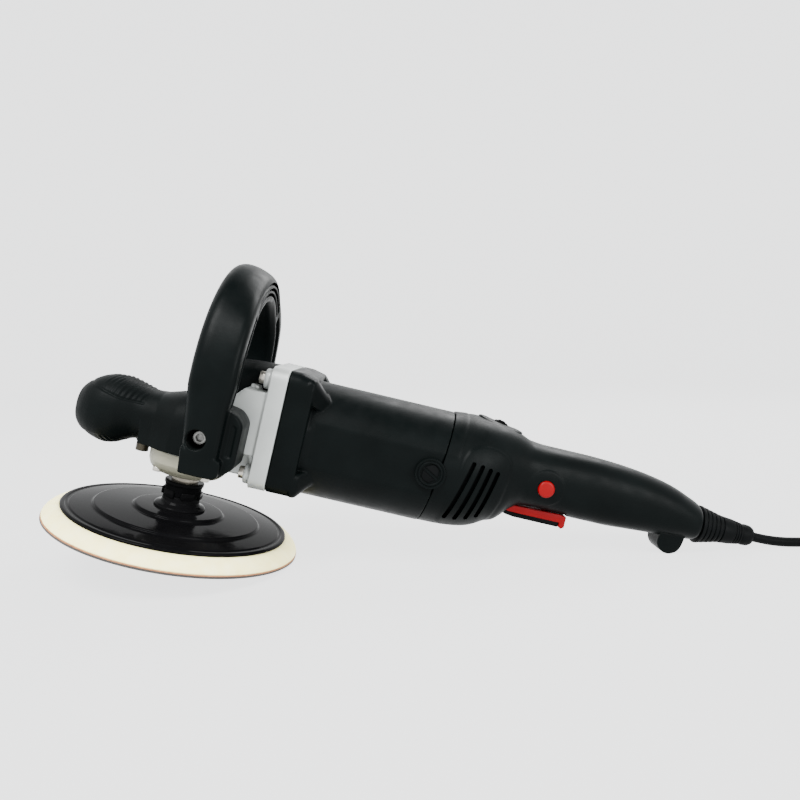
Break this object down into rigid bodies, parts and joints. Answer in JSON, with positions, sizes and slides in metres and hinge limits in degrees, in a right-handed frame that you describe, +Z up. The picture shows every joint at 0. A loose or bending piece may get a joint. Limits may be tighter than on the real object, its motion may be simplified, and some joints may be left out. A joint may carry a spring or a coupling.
{
  "type": "rotary polisher",
  "caption": "Corded rotary polisher: tilted backing pad under a gear head, round motor housing, loop handle over the head, palm grip in front, straight rear handle with trigger.",
  "frame": {"origin": "on the floor, midway along the tool from the pad's front rim to the end of the strain relief, on the tool's mid-plane; the tool stands on the pad's rear rim and the handle's heel", "axes": "+X from the palm grip along the tool to the rear handle, +Z up, the lock button on the -Y side"},
  "size_m": [0.7089, 0.206, 0.2143],
  "materials": {
    "black_plastic": "satin moulded plastic with a fine grain",
    "dial_plastic": "matt",
    "plate_plastic": "glossy moulded plastic",
    "plug_plastic": "satin",
    "red_plastic": "glossy",
    "trigger_rubber": "matt",
    "cord_rubber": "matt, slightly waxy",
    "hook_fabric": "woven hooks, matt",
    "foam": "fine open-cell foam",
    "grey_alloy": "satin paint on a casting",
    "beige_alloy": "satin paint on a casting",
    "steel": "turned",
    "gear_steel": "cut teeth, oiled",
    "core_steel": "stacked sheets",
    "bearing_steel": "ground and polished",
    "screw_steel": "zinc plated",
    "copper": "enamelled copper",
    "bronze": "sintered",
    "carbon": "pressed carbon",
    "board": "solder mask",
    "pin_metal": "nickel plated"
  },
  "bodies": {
    "housing": {"gear_housing": "grey_alloy", "bearing_box": "beige_alloy", "bearing_box_screws": "screw_steel", "spindle_bearing_outer": "bearing_steel", "spindle_bearing_balls": "bearing_steel", "upper_bush": "bronze", "front_bearing_outer": "bearing_steel", "front_bearing_balls": "bearing_steel", "rear_bearing_outer": "bearing_steel", "rear_bearing_balls": "bearing_steel", "head_cover": "black_plastic", "cover_screw": "screw_steel", "loop_handle": "black_plastic", "loop_bolts": "screw_steel", "flange_screws": "screw_steel", "motor_housing": "black_plastic", "stator_core": "core_steel", "field_coils": "copper", "baffle_ring": "black_plastic", "brush_holders": "bronze", "carbon_brushes": "carbon", "brush_springs": "steel", "brush_caps": "black_plastic", "handle_shell_left": "black_plastic", "handle_shell_right": "black_plastic", "handle_screws": "screw_steel", "dial_bezel": "black_plastic", "control_board": "board", "switch_body": "dial_plastic", "trigger_pin": "steel", "cord_clamp": "black_plastic", "strain_relief": "cord_rubber", "cord": "cord_rubber", "cord_coil": "cord_rubber", "cord_tail": "cord_rubber", "plug_body": "plug_plastic", "plug_pins": "pin_metal"},
    "pad_spindle": {"hook_face": "hook_fabric", "foam_pad": "foam", "backing_plate": "plate_plastic", "pad_hub": "plate_plastic", "hub_insert": "steel", "spindle": "steel", "bevel_gear": "gear_steel", "gear_key": "steel", "gear_circlip": "steel", "spindle_bearing_inner": "bearing_steel"},
    "armature": {"pinion": "gear_steel", "pinion_nut": "steel", "armature_shaft": "steel", "armature_core": "core_steel", "armature_windings": "copper", "commutator": "copper", "fan": "black_plastic", "front_bearing_inner": "bearing_steel", "rear_bearing_inner": "bearing_steel"},
    "trigger": {"trigger": "trigger_rubber", "trigger_inlay": "red_plastic"},
    "lock_button": {"lock_button": "red_plastic"},
    "speed_dial": {"speed_dial": "dial_plastic"}
  },
  "joints": [
    {"name": "spindle_spin", "type": "hinge", "parent": "housing", "child": "pad_spindle", "pos_m": [-0.16883, 0, 0.02268], "axis": [0.252, 0, 0.9677], "continuous": true},
    {"name": "armature_spin", "type": "hinge", "parent": "housing", "child": "armature", "pos_m": [-0.0588, 0, 0.08806], "axis": [0.9677, 0, -0.252], "continuous": true},
    {"name": "trigger_pull", "type": "hinge", "parent": "housing", "child": "trigger", "pos_m": [0.0732, 0, 0.04336], "axis": [0, -1, 0], "range_deg": [0, 5], "stiffness_Nm_per_rad": 1.5, "springref_deg": -5.73},
    {"name": "lock_button_press", "type": "slide", "parent": "housing", "child": "lock_button", "axis": [0, 1, 0], "range_m": [0, 0.002], "stiffness_N_per_m": 800, "springref_m": -0.002},
    {"name": "speed_dial_turn", "type": "hinge", "parent": "housing", "child": "speed_dial", "pos_m": [0.06832, 0, 0.09151], "axis": [0, 1, 0], "range_deg": [-135, 135]}
  ],
  "couplings": [
    {"joint": "armature_spin", "follows": "spindle_spin", "ratio": 3.5}
  ]
}
